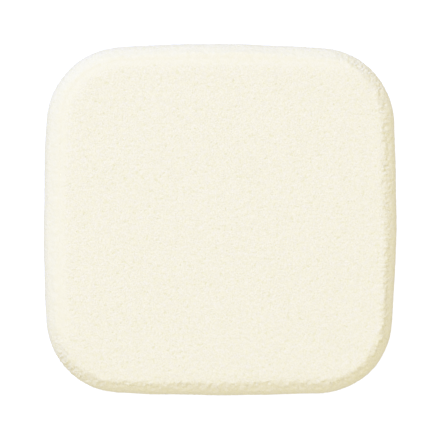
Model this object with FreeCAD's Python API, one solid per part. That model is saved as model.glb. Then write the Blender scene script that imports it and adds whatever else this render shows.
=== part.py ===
import FreeCAD, Part
import math
import os

# Square makeup sponge lying on its lower face, in millimetres.
# The origin is the centre of the lower face and +Z is the thickness.
# The pad is cut from a foam block with rounded corners and gently bowed sides,
# and its rim is ground to a bevel towards both faces.

SIDE = 55.0             # width across the middle of two opposite sides
THICKNESS = 8.0         # lower face to upper face, uncompressed
CORNER_RADIUS = 12.0    # corners in plan, at the widest part of the rim
SIDE_RADIUS = 310.0     # bow of the four sides in plan
BEVEL_RUN = 1.8         # how far the bevel reaches in from the rim, seen from above
BEVEL_DROP = 1.8        # how far the bevel comes down from its face
FACE_ROUNDING = 1.4     # where a face turns over into its bevel
RIM_ROUNDING = 2.7      # where a bevel turns over into the upright rim
FACE_THICKNESS = 0.6    # buffed, finer-celled foam at each face

ROUNDING_SHARE = 0.45   # most of a bevel or of the rim that one rounding may take
UP = FreeCAD.Vector(0, 0, 1)


def arc(centre_x, centre_y, height, radius, start, end):
    circle = Part.Circle(FreeCAD.Vector(centre_x, centre_y, height), UP, radius)
    return Part.ArcOfCircle(circle, start, end).toShape()


def outline(inset, height):
    # four bowed sides and four corners, each arc tangent to the next
    side_centre = SIDE / 2 - SIDE_RADIUS
    between_centres = SIDE_RADIUS - CORNER_RADIUS
    corner_centre = (side_centre + math.sqrt(2 * between_centres ** 2 - side_centre ** 2)) / 2
    turn = math.asin(corner_centre / between_centres)
    side_radius = SIDE_RADIUS - inset
    corner_radius = CORNER_RADIUS - inset
    edges = []
    for quarter in range(4):
        angle = quarter * math.pi / 2
        c = math.cos(angle)
        s = math.sin(angle)
        edges.append(arc(side_centre * c, side_centre * s, height, side_radius,
                         angle - turn, angle + turn))
        corner_x = corner_centre * (c - s)
        corner_y = corner_centre * (s + c)
        edges.append(arc(corner_x, corner_y, height, corner_radius,
                         angle + turn, angle + math.pi / 2 - turn))
    return Part.Wire(edges)


def level_edges(solid, heights):
    return [edge for edge in solid.Edges
            if edge.BoundBox.ZLength < 1e-6
            and any(abs(edge.BoundBox.ZMin - height) < 1e-6 for height in heights)]


def rounding_that_fits(radius, turn, room):
    # a rounding takes radius * tan(turn / 2) of the surface on either side of its edge
    return min(radius, ROUNDING_SHARE * room / math.tan(turn / 2))


def ground_pad():
    sections = [
        outline(BEVEL_RUN, 0),
        outline(0, BEVEL_DROP),
        outline(0, THICKNESS - BEVEL_DROP),
        outline(BEVEL_RUN, THICKNESS),
    ]
    pad = Part.makeLoft(sections, True, True)
    bevel_slope = math.atan2(BEVEL_DROP, BEVEL_RUN)
    bevel_width = math.hypot(BEVEL_DROP, BEVEL_RUN)
    rim_height = THICKNESS - 2 * BEVEL_DROP
    rim_edges = level_edges(pad, [BEVEL_DROP, THICKNESS - BEVEL_DROP])
    rim_rounding = rounding_that_fits(RIM_ROUNDING, math.pi / 2 - bevel_slope,
                                      min(rim_height, bevel_width))
    pad = pad.makeFillet(rim_rounding, rim_edges)
    face_edges = level_edges(pad, [0, THICKNESS])
    face_rounding = rounding_that_fits(FACE_ROUNDING, bevel_slope, bevel_width)
    return pad.makeFillet(face_rounding, face_edges)


def layer(pad, bottom, top):
    corner = FreeCAD.Vector(-SIDE, -SIDE, bottom)
    slab = Part.makeBox(2 * SIDE, 2 * SIDE, top - bottom, corner)
    return pad.common(slab).Solids[0]


def lower_face(pad):
    return layer(pad, 0, FACE_THICKNESS)


def foam_core(pad):
    return layer(pad, FACE_THICKNESS, THICKNESS - FACE_THICKNESS)


def upper_face(pad):
    return layer(pad, THICKNESS - FACE_THICKNESS, THICKNESS)


os.makedirs("parts", exist_ok=True)
pad = ground_pad()
lower_face(pad).exportStep("parts/lower_face.step")
foam_core(pad).exportStep("parts/foam_core.step")
upper_face(pad).exportStep("parts/upper_face.step")
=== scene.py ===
import math

import bmesh
import bpy
import numpy as np
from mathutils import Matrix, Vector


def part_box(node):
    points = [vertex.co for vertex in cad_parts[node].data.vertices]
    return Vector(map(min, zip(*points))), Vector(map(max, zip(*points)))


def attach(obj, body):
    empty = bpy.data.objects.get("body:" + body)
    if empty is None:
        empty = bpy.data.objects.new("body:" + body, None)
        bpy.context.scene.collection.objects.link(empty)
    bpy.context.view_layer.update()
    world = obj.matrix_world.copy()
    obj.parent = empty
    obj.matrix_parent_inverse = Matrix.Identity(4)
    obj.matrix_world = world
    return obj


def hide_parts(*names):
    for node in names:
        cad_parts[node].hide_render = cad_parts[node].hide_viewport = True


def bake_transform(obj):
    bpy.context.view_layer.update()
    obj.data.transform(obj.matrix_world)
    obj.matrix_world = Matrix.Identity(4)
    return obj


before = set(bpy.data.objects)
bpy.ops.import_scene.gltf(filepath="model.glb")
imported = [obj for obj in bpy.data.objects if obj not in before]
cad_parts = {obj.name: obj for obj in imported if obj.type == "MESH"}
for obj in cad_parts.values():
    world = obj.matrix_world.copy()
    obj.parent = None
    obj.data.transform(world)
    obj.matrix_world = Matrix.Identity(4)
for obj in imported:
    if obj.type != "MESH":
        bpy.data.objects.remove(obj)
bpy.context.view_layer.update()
scene = bpy.context.scene
mm = 0.001

# node helpers, used by the geometry tree and the materials alike


def addNode(tree, kind, values=None, **settings):
    node = tree.nodes.new(kind)
    for name, value in settings.items():
        setattr(node, name, value)
    for name, value in (values or {}).items():
        feed(tree, node.inputs[name], value)
    return node


def feed(tree, socket, value):
    if isinstance(value, bpy.types.NodeSocket):
        tree.links.new(value, socket)
    else:
        socket.default_value = value


def calc(tree, operation, first, second=0.0, clamp=False):
    node = addNode(tree, "ShaderNodeMath", {0: first, 1: second}, operation=operation, use_clamp=clamp)
    return node.outputs[0]


def summed(tree, *terms):
    total = terms[0]
    for term in terms[1:]:
        total = calc(tree, "ADD", total, term)
    return total


def times(tree, *factors):
    product = factors[0]
    for factor in factors[1:]:
        product = calc(tree, "MULTIPLY", product, factor)
    return product


def minus(tree, first, second):
    return calc(tree, "SUBTRACT", first, second)


def ramp(tree, value, low, high, toLow=0.0, toHigh=1.0, shape="SMOOTHSTEP"):
    values = {"Value": value, "From Min": low, "From Max": high, "To Min": toLow, "To Max": toHigh}
    return addNode(tree, "ShaderNodeMapRange", values, interpolation_type=shape).outputs["Result"]


def vectorCalc(tree, operation, first, second):
    return addNode(tree, "ShaderNodeVectorMath", {0: first, 1: second}, operation=operation).outputs[0]


def scaled(tree, vector, scale):
    return addNode(tree, "ShaderNodeVectorMath", {0: vector, "Scale": scale}, operation="SCALE").outputs[0]


def along(tree, vector, direction):
    node = addNode(tree, "ShaderNodeVectorMath", {0: vector, 1: direction}, operation="DOT_PRODUCT")
    return node.outputs["Value"]


def mixed(tree, share, first, second):
    # a mix node's colours are its inputs 6 and 7 and its output 2
    values = {"Factor": share, 6: first, 7: second}
    return addNode(tree, "ShaderNodeMix", values, data_type="RGBA").outputs[2]


def noiseAt(tree, place, size, detail=1.0, roughness=0.55, seed=None):
    # noise about zero, with lumps of the given size
    sample = scaled(tree, place, calc(tree, "DIVIDE", 1.0, size))
    values = {"Vector": sample, "Scale": 1.0, "Detail": detail, "Roughness": roughness}
    if seed is not None:
        values["W"] = seed
    node = addNode(tree, "ShaderNodeTexNoise", values, noise_dimensions="3D" if seed is None else "4D")
    return minus(tree, node.outputs[0], 0.5)


def emptyTree(owner):
    owner.use_nodes = True
    owner.node_tree.nodes.clear()
    return owner.node_tree


def readAttribute(tree, name, kind="FLOAT"):
    return addNode(tree, "GeometryNodeInputNamedAttribute", {"Name": name}, data_type=kind).outputs[0]


def writeAttribute(tree, geometry, name, value, kind="FLOAT"):
    values = {"Geometry": geometry, "Name": name, "Value": value}
    node = addNode(tree, "GeometryNodeStoreNamedAttribute", values, data_type=kind, domain="POINT")
    return node.outputs[0]


def newGeometryTree(name, numbers):
    socketKinds = {int: "NodeSocketInt", float: "NodeSocketFloat", tuple: "NodeSocketVector"}
    tree = bpy.data.node_groups.new(name, "GeometryNodeTree")
    tree.is_modifier = True
    tree.interface.new_socket("geometry", in_out="OUTPUT", socket_type="NodeSocketGeometry")
    tree.interface.new_socket("geometry", in_out="INPUT", socket_type="NodeSocketGeometry")
    for label, number in numbers.items():
        tree.interface.new_socket(label, in_out="INPUT", socket_type=socketKinds[type(number)])
    tree.interface.new_socket("material", in_out="INPUT", socket_type="NodeSocketMaterial")
    return tree, tree.nodes.new("NodeGroupInput").outputs


def endGeometryTree(tree, geometry, material):
    whole = addNode(tree, "GeometryNodeRealizeInstances", {0: geometry})
    painted = addNode(tree, "GeometryNodeSetMaterial", {"Geometry": whole.outputs[0], "Material": material})
    feed(tree, tree.nodes.new("NodeGroupOutput").inputs[0], painted.outputs[0])


def runTree(source, tree, values):
    modifier = source.modifiers.new(tree.name, "NODES")
    modifier.node_group = tree
    for item in tree.interface.items_tree:
        if item.in_out == "INPUT" and item.name in values:
            modifier[item.identifier] = values[item.name]
    graph = bpy.context.evaluated_depsgraph_get()
    mesh = bpy.data.meshes.new_from_object(source.evaluated_get(graph), depsgraph=graph)
    source.modifiers.remove(modifier)
    return mesh


def newObject(name, data):
    piece = bpy.data.objects.new(name, data)
    scene.collection.objects.link(piece)
    return piece


# the pad's skin: two bevelled faces and the rim between them, as one ring grid

pad = {
    "cornerRadius": 12.0 * mm,
    "sideRadius": 310.0 * mm,
    "bevelRun": 1.8 * mm,
    "bevelDrop": 1.8 * mm,
    "faceRounding": 1.4 * mm,
    "rimRounding": 2.7 * mm,
    "roundingSteps": 60,   # points along each rounding of the rim's profile
    "faceRings": 144,      # rings of the face grid, centre to edge
    "rimStep": 0.17 * mm,  # spacing of the rings down the rim
}
halfSide = (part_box("foam_core")[1][0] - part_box("foam_core")[0][0]) / 2
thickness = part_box("upper_face")[1][2]
coreLow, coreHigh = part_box("foam_core")[0][2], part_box("foam_core")[1][2]
lowerLayer, coreLayer, upperLayer = 0, 1, 2


def outlineAt(share):
    # point and outward direction on the widest outline, share 0..1 of the way round from the right
    sideRadius, cornerRadius = pad["sideRadius"], pad["cornerRadius"]
    sideCentre = halfSide - sideRadius
    between = sideRadius - cornerRadius
    cornerCentre = (sideCentre + math.sqrt(2 * between ** 2 - sideCentre ** 2)) / 2
    turn = math.asin(cornerCentre / between)
    sideLength = turn * sideRadius
    quarterLength = 2 * sideLength + (math.pi / 2 - 2 * turn) * cornerRadius
    run = np.mod(share * 4, 1) * quarterLength
    quarter = np.floor(share * 4) * math.pi / 2
    # each quarter is half a side, a corner and half the next side
    first, last = run < sideLength, run > quarterLength - sideLength
    angle = np.where(first, run / sideRadius,
                     np.where(last, math.pi / 2 - (quarterLength - run) / sideRadius,
                              turn + (run - sideLength) / cornerRadius))
    centreX = np.where(first, sideCentre, np.where(last, 0, cornerCentre))
    centreY = np.where(first, 0, np.where(last, sideCentre, cornerCentre))
    radius = np.where(first | last, sideRadius, cornerRadius)
    x, y = centreX + radius * np.cos(angle), centreY + radius * np.sin(angle)
    c, s = np.cos(quarter), np.sin(quarter)
    points = np.stack([x * c - y * s, x * s + y * c], axis=-1)
    return points, np.stack([np.cos(angle + quarter), np.sin(angle + quarter)], axis=-1)


def rimProfile():
    # inset from the widest outline and height, from the upper face's edge down to the lower one's
    slope = math.atan2(pad["bevelDrop"], pad["bevelRun"])
    faceCentre = pad["bevelRun"] + pad["faceRounding"] * math.tan(slope / 2)
    rimCentre = thickness - pad["bevelDrop"] - pad["rimRounding"] * math.tan((math.pi / 2 - slope) / 2)
    over = np.linspace(0, slope, pad["roundingSteps"])
    down = np.linspace(slope, math.pi / 2, pad["roundingSteps"])
    upper = np.concatenate([
        np.stack([faceCentre - pad["faceRounding"] * np.sin(over),
                  thickness - pad["faceRounding"] * (1 - np.cos(over))], axis=1),
        np.stack([pad["rimRounding"] * (1 - np.sin(down)),
                  rimCentre + pad["rimRounding"] * np.cos(down)], axis=1)])
    line = np.concatenate([upper, upper[::-1] * [1, -1] + [0, thickness]])
    length = np.concatenate([[0], np.cumsum(np.hypot(*np.diff(line, axis=0).T))])
    # a ring lies on each height where the layers meet
    cuts = np.interp([-thickness, -coreHigh, -coreLow, 0], -line[:, 1], length)
    counts = np.ceil(np.diff(cuts) / pad["rimStep"]).astype(int)
    at = np.concatenate([np.linspace(cuts[k], cuts[k + 1], counts[k], endpoint=False) for k in range(3)]
                        + [cuts[-1:]])
    rows = np.stack([np.interp(at, length, line[:, 0]), np.interp(at, length, line[:, 1])], axis=1)
    return rows, np.repeat([upperLayer, coreLayer, lowerLayer], counts)


def makePadSkin():
    rings, around = pad["faceRings"], 8 * pad["faceRings"]
    profile, rowLayers = rimProfile()
    edgeInset = profile[0, 0]
    # each face is a square grid whose rings are drawn out to the pad's outline
    i, j = np.meshgrid(np.arange(-rings, rings + 1), np.arange(-rings, rings + 1), indexing="ij")
    ring = np.maximum(abs(i), abs(j))
    place = np.where((i == ring) & (j > -ring), j,
                     np.where(j == ring, 2 * ring - i, np.where(i == -ring, 4 * ring - j, 6 * ring + i)))
    ringLength = 8 * np.maximum(ring, 1)
    place = place % ringLength
    edgePoints, faceOut = outlineAt(place / ringLength)
    edgePoints = edgePoints - faceOut * edgeInset
    spread = ring / rings
    facePoints = (edgePoints * spread[..., None]).reshape(-1, 2)
    faceInset = (edgeInset + (1 - spread) * (edgePoints * faceOut).sum(-1)).ravel()
    faceOut = faceOut.reshape(-1, 2)
    faceCount = len(facePoints)
    number = np.arange(faceCount).reshape(ring.shape)
    edge = np.empty(around, int)
    edge[place[ring == rings]] = number[ring == rings]
    cells = np.stack([number[:-1, :-1], number[1:, :-1], number[1:, 1:], number[:-1, 1:]], axis=-1)
    cells = cells.reshape(-1, 4)
    # the rim's rings lie between the two faces' edges
    inner = profile[1:-1]
    points, rimOut = outlineAt(np.arange(around) / around)
    rimPoints = (points[None] - rimOut[None] * inner[:, 0, None, None]).reshape(-1, 2)
    rows = np.arange(len(rimPoints)).reshape(len(inner), around) + 2 * faceCount
    rows = np.concatenate([edge[None], rows, edge[None] + faceCount])
    nextRows = np.roll(rows, -1, axis=1)
    bands = np.stack([rows[:-1], rows[1:], nextRows[1:], nextRows[:-1]], axis=-1).reshape(-1, 4)

    flat = np.concatenate([facePoints, facePoints, rimPoints])
    height = np.concatenate([np.full(faceCount, thickness), np.zeros(faceCount),
                             np.repeat(inner[:, 1], around)])
    inset = np.concatenate([faceInset, faceInset, np.repeat(inner[:, 0], around)])
    outward = np.concatenate([faceOut, faceOut, np.tile(rimOut, (len(inner), 1))])
    outward = np.column_stack([outward, np.zeros(len(outward))])
    layers = np.concatenate([np.full(len(cells), upperLayer), np.full(len(cells), lowerLayer),
                             np.repeat(rowLayers, around)])
    mesh = bpy.data.meshes.new("padSkin")
    mesh.from_pydata(np.column_stack([flat, height]), [],
                     np.concatenate([cells, cells[:, ::-1] + faceCount, bands]))
    mesh.attributes.new("inset", "FLOAT", "POINT").data.foreach_set("value", inset)
    mesh.attributes.new("outward", "FLOAT_VECTOR", "POINT").data.foreach_set("vector", outward.ravel())
    mesh.attributes.new("layer", "INT", "FACE").data.foreach_set("value", layers)
    mesh.shade_smooth()
    return mesh


# foam grain: clumps and pores raised along the surface, and a ragged lip where face meets bevel
# an inset is how far a point lies in from the widest outline

grain = {
    "clumpSize": 0.42 * mm,
    "clumpHeight": 0.13 * mm,
    "poreSize": 0.58 * mm,
    "poreDepth": 0.042 * mm,
    "poreLow": -0.26,         # noise below this is open pore
    "poreHigh": -0.11,        # and above this there is none
    "rimShare": 1.5,          # relief of the ground rim against the face's
    "swellSize": 9.0 * mm,    # slow unevenness of the faces
    "swellHeight": 0.12 * mm,
    "lipInset": 1.8 * mm,     # where the face breaks over the bevel
    "lipWidth": 1.2 * mm,
    "lipSize": 1.6 * mm,
    "lipReach": 1.0 * mm,
    "lipDetail": 4.0,
    "lipRoughness": 0.65,
    "driftSize": 22.0 * mm,   # slow drift of the lip
    "driftReach": 0.89 * mm,
    "driftSeed": 2481.5,
    "waveSize": 14.0 * mm,    # slow unevenness of the outline
    "waveReach": 0.69 * mm,
    "waveSeed": 4653.5,
    "waveInset": 4.0 * mm,
    "narrowSide": (0.7, 0.7, 0.0),   # the corner with the narrowest bevel
    "lipLean": 0.14 * mm,     # how much further out the lip lies on the edges that face it
    "roughFrom": 0.80,        # an edge that faces to or from narrowSide by this much starts to be rough
    "roughFull": 0.98,        # and by this much is rough all through
    "softSide": (-0.85, 0.53, 0.0),  # the side whose edges are softer
    "softFrom": -0.95,        # an edge that faces it by this much starts to be soft
    "softFull": 0.6,          # and by this much is soft all through
    "softDrop": 0.34 * mm,    # how far the upper face sinks at its softest edges
    "softInset": 2.4 * mm,    # all of it up to here
    "softReach": 2.6 * mm,    # and none of it this much further in
    "softPower": 3.0,         # how sharply it falls off between the two
    "calmPower": 2.0,         # how quickly soft edges grow calm
    "evenShare": 0.6,         # how much of the grain is buffed off the calm edges
    "evenInset": 2.0 * mm,
    "evenNear": 0.72 * mm,    # all of it within this of that inset
    "evenFar": 1.8 * mm,      # and none of it past this
    "crumbSize": 0.42 * mm,   # loose crumbs of foam along the lip
    "crumbHeight": 0.60 * mm,
    "crumbDraw": 0.45,        # how far they are drawn out across it
    "crumbInset": 1.5 * mm,
    "crumbWidth": 1.3 * mm,
    "crumbCalm": 0.85,        # how much of them is buffed off the calm edges
    "crumbSpread": 0.8 * mm,  # how much further out they lie on the rough corners
    "crumbExtra": 0.2,        # and how much higher they are there
}


def poreAt(tree, place, values):
    # open cells: irregular dips where the noise runs lowest
    noise = noiseAt(tree, place, values["poreSize"])
    return ramp(tree, noise, values["poreLow"], values["poreHigh"], 1.0, 0.0)


def nearInset(tree, inset, centre, far, near=0.0):
    # 1 at the centre's inset, fading to 0 on either side of it
    away = calc(tree, "ABSOLUTE", minus(tree, inset, centre))
    return ramp(tree, away, near, far, 1.0, 0.0)


def skinFields(tree, given):
    # where each point lies, and what its edge is like by the way it faces
    at = {
        "place": addNode(tree, "GeometryNodeInputPosition").outputs[0],
        "normal": addNode(tree, "GeometryNodeInputNormal").outputs[0],
        "inset": readAttribute(tree, "inset"),
        "outward": readAttribute(tree, "outward", "FLOAT_VECTOR"),
    }
    towardsSoft = along(tree, at["outward"], given["softSide"])
    at["softness"] = ramp(tree, towardsSoft, given["softFrom"], given["softFull"], shape="LINEAR")
    at["towardsNarrow"] = along(tree, at["outward"], given["narrowSide"])
    eitherCorner = calc(tree, "ABSOLUTE", at["towardsNarrow"])
    at["rough"] = ramp(tree, eitherCorner, given["roughFrom"], given["roughFull"])
    soft = calc(tree, "POWER", at["softness"], given["calmPower"])
    at["calm"] = times(tree, soft, minus(tree, 1.0, at["rough"]))
    evened = nearInset(tree, at["inset"], given["evenInset"], given["evenFar"], given["evenNear"])
    at["loose"] = minus(tree, 1.0, times(tree, at["calm"], evened, given["evenShare"]))
    return at


def grainHeight(tree, given, at):
    # rounded clumps with creases and pores between them, higher where the rim is ground
    clumps = times(tree, noiseAt(tree, at["place"], given["clumpSize"]), given["clumpHeight"])
    pores = times(tree, poreAt(tree, at["place"], given), given["poreDepth"])
    groundInset = minus(tree, given["lipInset"], given["lipWidth"])
    share = ramp(tree, at["inset"], groundInset, given["lipInset"], given["rimShare"], 1.0)
    return times(tree, minus(tree, clumps, pores), share, at["loose"])


def crumbHeight(tree, given, at):
    # crumbs of foam along the lip, drawn out down the bevel and lower on the calm edges
    drawOut = scaled(tree, at["outward"], times(tree, at["inset"], given["crumbDraw"]))
    drawDown = minus(tree, 1.0, given["crumbDraw"])
    flatter = addNode(tree, "ShaderNodeCombineXYZ", {0: 1.0, 1: 1.0, 2: drawDown})
    drawn = vectorCalc(tree, "ADD", at["place"], drawOut)
    drawn = vectorCalc(tree, "MULTIPLY", drawn, flatter.outputs[0])
    crumb = times(tree, noiseAt(tree, drawn, given["crumbSize"]), given["crumbHeight"])
    kept = minus(tree, 1.0, times(tree, at["calm"], given["crumbCalm"]))
    kept = summed(tree, kept, times(tree, at["rough"], given["crumbExtra"]))
    centre = minus(tree, given["crumbInset"], times(tree, at["rough"], given["crumbSpread"]))
    return times(tree, crumb, kept, nearInset(tree, at["inset"], centre, given["crumbWidth"]))


def sidewaysShift(tree, given, at):
    # the lip and the outline wander in and out
    ragged = noiseAt(tree, at["place"], given["lipSize"], given["lipDetail"], given["lipRoughness"])
    flatPlace = vectorCalc(tree, "MULTIPLY", at["place"], (1, 1, 0))
    drift = noiseAt(tree, flatPlace, given["driftSize"], seed=given["driftSeed"])
    lip = summed(tree, times(tree, ragged, given["lipReach"]),
                 times(tree, at["towardsNarrow"], given["lipLean"]),
                 times(tree, drift, given["driftReach"]))
    nearLip = nearInset(tree, at["inset"], given["lipInset"], given["lipWidth"])
    wave = noiseAt(tree, flatPlace, given["waveSize"], seed=given["waveSeed"])
    nearRim = ramp(tree, at["inset"], 0.0, given["waveInset"], 1.0, 0.0)
    return summed(tree, times(tree, lip, nearLip), times(tree, wave, nearRim, given["waveReach"]))


def softEdgeDrop(tree, given, at):
    # the upper face sinks at its softer edges, which fades out at half height
    past = calc(tree, "DIVIDE", minus(tree, at["inset"], given["softInset"]), given["softReach"])
    near = calc(tree, "SUBTRACT", 1.0, past, clamp=True)
    sunk = times(tree, calc(tree, "POWER", near, given["softPower"]), given["softDrop"], at["softness"])
    z = addNode(tree, "ShaderNodeSeparateXYZ", {0: at["place"]}).outputs["Z"]
    upperShare = ramp(tree, z, thickness / 2, thickness, shape="LINEAR")
    return addNode(tree, "ShaderNodeCombineXYZ", {"Z": times(tree, sunk, upperShare, -1.0)}).outputs[0]


def grainTree():
    tree, given = newGeometryTree("foamGrain", {**grain, "layer": upperLayer})
    at = skinFields(tree, given)
    swell = times(tree, noiseAt(tree, at["place"], given["swellSize"]), given["swellHeight"])
    height = summed(tree, grainHeight(tree, given, at), swell, crumbHeight(tree, given, at))
    raised = scaled(tree, at["normal"], height)
    pushed = scaled(tree, at["outward"], sidewaysShift(tree, given, at))
    shift = vectorCalc(tree, "ADD", vectorCalc(tree, "ADD", raised, pushed), softEdgeDrop(tree, given, at))
    # the grain's own places are kept, so that the colour stays with the foam when it is pressed
    geometry = writeAttribute(tree, given["geometry"], "grainPlace", at["place"], "FLOAT_VECTOR")
    geometry = writeAttribute(tree, geometry, "loose", at["loose"])
    geometry = addNode(tree, "GeometryNodeSetPosition", {"Geometry": geometry, "Offset": shift}).outputs[0]
    # the underside lies on what carries the pad
    x, y, z = addNode(tree, "ShaderNodeSeparateXYZ", {0: at["place"]}).outputs
    lifted = addNode(tree, "ShaderNodeCombineXYZ", {0: x, 1: y, 2: calc(tree, "MAXIMUM", z, 0.0)})
    geometry = addNode(tree, "GeometryNodeSetPosition",
                       {"Geometry": geometry, "Position": lifted.outputs[0]}).outputs[0]
    geometry = writeAttribute(tree, geometry, "skinNormal", at["normal"], "FLOAT_VECTOR")
    chosen = calc(tree, "COMPARE", readAttribute(tree, "layer", "INT"), given["layer"])
    geometry = addNode(tree, "GeometryNodeSeparateGeometry", {"Geometry": geometry, "Selection": chosen},
                       domain="FACE").outputs[0]
    endGeometryTree(tree, geometry, given["material"])
    return tree


def closeLayer(mesh):
    # caps where the layer was cut from the skin, which keeps its normals along the cut
    shape = bmesh.new()
    shape.from_mesh(mesh)
    cut = [edge for edge in shape.edges if edge.is_boundary]
    caps = bmesh.ops.holes_fill(shape, edges=cut, sides=0)["faces"]
    bmesh.ops.poke(shape, faces=caps)
    bmesh.ops.recalc_face_normals(shape, faces=shape.faces)
    shape.to_mesh(mesh)
    shape.free()
    sides, corners = np.empty(len(mesh.polygons), int), np.empty(len(mesh.loops), int)
    faceNormals, skinNormals = np.empty(3 * len(sides)), np.empty(3 * len(mesh.vertices))
    mesh.polygons.foreach_get("loop_total", sides)
    mesh.polygons.foreach_get("normal", faceNormals)
    mesh.loops.foreach_get("vertex_index", corners)
    mesh.attributes["skinNormal"].data.foreach_get("vector", skinNormals)
    onCap = np.repeat(sides == 3, sides)[:, None]  # only the caps are triangles
    mesh.normals_split_custom_set(np.where(onCap, np.repeat(faceNormals.reshape(-1, 3), sides, axis=0),
                                           skinNormals.reshape(-1, 3)[corners]))
    for name in ("skinNormal", "inset", "outward", "layer"):
        mesh.attributes.remove(mesh.attributes[name])


# cream foam: pale with warmer patches and deeper mottling; deeper in the grain's dips, partly its own tone
# and partly painted shade; the small yellower pores and the extra deep cream on the buffed edges are
# painted shade

foam = {
    "paleCream": (0.980, 0.955, 0.940, 1),
    "warmCream": (0.980, 0.955, 0.806, 1),
    # the foam's deeper tone, also used as painted shade in the grain's dips and on the buffed edges
    "deepCreamAndShade": (0.832, 0.798, 0.573, 1),
    # pores: painted shade in the open cells, a darker and yellower cream
    "poreShadeCream": (0.908, 0.885, 0.680, 1),
    "warmShare": 0.5,         # share of warm cream in the pale
    "warmSize": 0.8 * mm,
    "warmDepth": 1.5,         # how far its pattern moves that share
    "deepShare": 0.25,        # share of deep cream in the foam as a whole
    "evenPaintedShade": 0.11,        # more of it where the grain is buffed off: painted shade standing in for the shade the buffed-off relief cast
    "grainSize": 0.26 * mm,   # three patterns that move it: fine grain, mottling and clouds; the fine grain deepens it in the bump's dips, partly the foam's own tone and partly painted shade there
    "grainDetail": 3.0,
    "grainToneAndShade": -1.2,
    "mottleSize": 1.0 * mm,
    "mottleDetail": 2.0,
    "mottleDepth": 0.18,
    "cloudSize": 6.0 * mm,
    "cloudDetail": 2.0,
    "cloudDepth": 0.08,
    "grainBump": 0.10 * mm,
    "poreBump": 0.02 * mm,
    "grainSpan": 0.3,         # the fine grain's noise runs about this far either way
    "leastRoughness": 0.82,   # in its dips
    "mostRoughness": 0.95,    # and on its tops
    "sheen": 0.03,
    "sheenRoughness": 0.6,
    "specular": 0.1,
}


def makeFoamMaterial():
    material = bpy.data.materials.new("creamFoam")
    tree = emptyTree(material)
    place = addNode(tree, "ShaderNodeAttribute", attribute_name="grainPlace").outputs["Vector"]
    loose = addNode(tree, "ShaderNodeAttribute", attribute_name="loose").outputs["Fac"]
    # what shows less where the grain is buffed off
    fine = times(tree, noiseAt(tree, place, foam["grainSize"], foam["grainDetail"]), loose)
    pore = times(tree, poreAt(tree, place, grain), loose)
    warm = times(tree, noiseAt(tree, place, foam["warmSize"]), loose)
    mottle = noiseAt(tree, place, foam["mottleSize"], foam["mottleDetail"])
    cloud = noiseAt(tree, place, foam["cloudSize"], foam["cloudDetail"])
    # deep cream: the base share, mottling and clouds are the foam's own tone; in the fine grain's dips it
    # is partly painted shade, and on the buffed edges painted shade
    deepToneAndShade = summed(tree, foam["deepShare"],
                   times(tree, fine, foam["grainToneAndShade"]),
                   times(tree, mottle, foam["mottleDepth"]),
                   times(tree, cloud, foam["cloudDepth"]),
                   times(tree, minus(tree, 1.0, loose), foam["evenPaintedShade"]))
    warmth = summed(tree, foam["warmShare"], times(tree, warm, foam["warmDepth"]))
    pale = mixed(tree, warmth, foam["paleCream"], foam["warmCream"])
    # the pores' yellower cream is painted shade in the open cells
    colour = mixed(tree, pore, mixed(tree, deepToneAndShade, pale, foam["deepCreamAndShade"]), foam["poreShadeCream"])
    height = minus(tree, times(tree, fine, foam["grainBump"]), times(tree, pore, foam["poreBump"]))
    bump = addNode(tree, "ShaderNodeBump", {"Strength": 1.0, "Distance": 1.0, "Height": height})
    rough = ramp(tree, fine, -foam["grainSpan"], foam["grainSpan"],
                 foam["leastRoughness"], foam["mostRoughness"])
    shader = addNode(tree, "ShaderNodeBsdfPrincipled", {
        "Base Color": colour, "Roughness": rough, "Normal": bump.outputs[0], "Sheen Weight": foam["sheen"],
        "Sheen Roughness": foam["sheenRoughness"], "Specular IOR Level": foam["specular"]})
    addNode(tree, "ShaderNodeOutputMaterial", {"Surface": shader.outputs[0]})
    return material


def makeLayer(name, layer, node):
    mesh = runTree(skin, foamGrain, {**grain, "layer": layer, "material": creamFoam})
    closeLayer(mesh)
    piece = newObject(name, mesh)
    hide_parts(node)
    print(name + ":", len(mesh.polygons), "faces")
    return piece


creamFoam = makeFoamMaterial()
skin = newObject("padSkin", makePadSkin())
print("pad skin:", len(skin.data.polygons), "faces")
foamGrain = grainTree()
print("grain tree:", len(foamGrain.nodes), "nodes")
upperFace = makeLayer("upperFace", upperLayer, "upper_face")
foamCore = makeLayer("foamCore", coreLayer, "foam_core")
lowerFace = makeLayer("lowerFace", lowerLayer, "lower_face")
bpy.data.objects.remove(skin)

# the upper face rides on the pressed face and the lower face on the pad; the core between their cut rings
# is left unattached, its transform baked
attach(upperFace, "pressed_face")
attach(lowerFace, "pad")
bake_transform(foamCore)

# stage: white floor, warm sky, cool soft light from the upper left, camera straight above

stage = {
    "frameWidth": 68.73 * mm,  # what the picture spans at the upper end of the rim
    "cameraTurn": 0.28,        # degrees, as the pad lies in the picture
    "lens": 300,
    "clipStart": 5.0 * mm,
    "skyColour": (1.0, 0.930, 0.689, 1),
    "skyStrength": 0.863,
    "keyColour": (0.350, 0.483, 1.0),
    "keyPower": 5.72,
    "keyDistance": 1.0,        # metres, as the key's size is
    "keySize": 0.70,
    "keyAzimuth": 128,         # degrees, as its elevation is
    "keyElevation": 47,
    "floorColour": (0.62, 0.62, 0.62, 1),
    "floorGlow": (0.61, 0.64, 0.78, 1),
    "floorDrop": 0.05 * mm,
    "floorReach": 3.0,         # metres
}


def seenDirectly(tree):
    # 1 for what the camera sees, straight or in a glossy or clear surface
    path = addNode(tree, "ShaderNodeLightPath").outputs
    mirrored = calc(tree, "MAXIMUM", path["Is Glossy Ray"], path["Is Transmission Ray"])
    return calc(tree, "MAXIMUM", path["Is Camera Ray"], mirrored)


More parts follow.
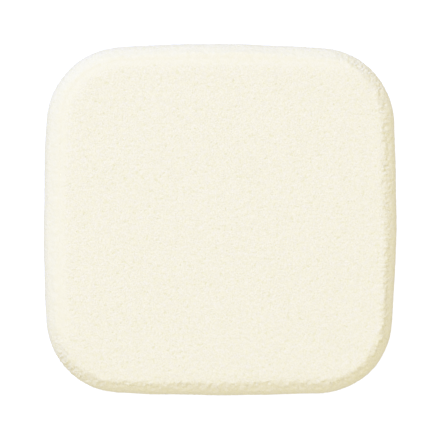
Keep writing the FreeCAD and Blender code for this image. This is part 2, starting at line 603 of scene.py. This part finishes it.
def makeWorld():
    world = bpy.data.worlds.new("studio")
    tree = emptyTree(world)
    sky = addNode(tree, "ShaderNodeBackground",
                  {"Color": stage["skyColour"], "Strength": stage["skyStrength"]})
    white = addNode(tree, "ShaderNodeBackground", {"Color": (1, 1, 1, 1), "Strength": 1.0})
    either = addNode(tree, "ShaderNodeMixShader",
                     {0: seenDirectly(tree), 1: sky.outputs[0], 2: white.outputs[0]})
    addNode(tree, "ShaderNodeOutputWorld", {"Surface": either.outputs[0]})
    scene.world = world


def makeFloor():
    material = bpy.data.materials.new("whiteFloor")
    tree = emptyTree(material)
    # the glow makes up what the matte floor lacks to white, and lights nothing
    matte = addNode(tree, "ShaderNodeBsdfDiffuse", {"Color": stage["floorColour"]})
    glow = addNode(tree, "ShaderNodeEmission",
                   {"Color": stage["floorGlow"], "Strength": seenDirectly(tree)})
    both = addNode(tree, "ShaderNodeAddShader", {0: matte.outputs[0], 1: glow.outputs[0]})
    addNode(tree, "ShaderNodeOutputMaterial", {"Surface": both.outputs[0]})
    reach, z = stage["floorReach"], -stage["floorDrop"]
    mesh = bpy.data.meshes.new("floor")
    mesh.from_pydata([(-reach, -reach, z), (reach, -reach, z), (reach, reach, z), (-reach, reach, z)],
                     [], [(0, 1, 2, 3)])
    mesh.materials.append(material)
    newObject("floor", mesh)


def makeKeyLight():
    lamp = bpy.data.lights.new("key", "AREA")
    lamp.energy = stage["keyPower"]
    lamp.color = stage["keyColour"]
    lamp.shape = "DISK"
    lamp.size = stage["keySize"]
    light = newObject("key", lamp)
    azimuth, elevation = math.radians(stage["keyAzimuth"]), math.radians(stage["keyElevation"])
    reach = stage["keyDistance"]
    light.location = (reach * math.cos(elevation) * math.cos(azimuth),
                      reach * math.cos(elevation) * math.sin(azimuth), reach * math.sin(elevation))
    light.rotation_euler = (math.pi / 2 - elevation, 0, azimuth + math.pi / 2)


def makeCamera():
    lens = bpy.data.cameras.new("camera")
    lens.lens = stage["lens"]
    lens.clip_start = stage["clipStart"]
    camera = newObject("camera", lens)
    rimTop = thickness - pad["bevelDrop"]
    camera.location = (0, 0, rimTop + stage["frameWidth"] * lens.lens / lens.sensor_width)
    camera.rotation_euler = (0, 0, math.radians(stage["cameraTurn"]))
    scene.camera = camera


makeWorld()
makeFloor()
makeKeyLight()
makeCamera()
scene.view_settings.view_transform = "Standard"
print("stage set")
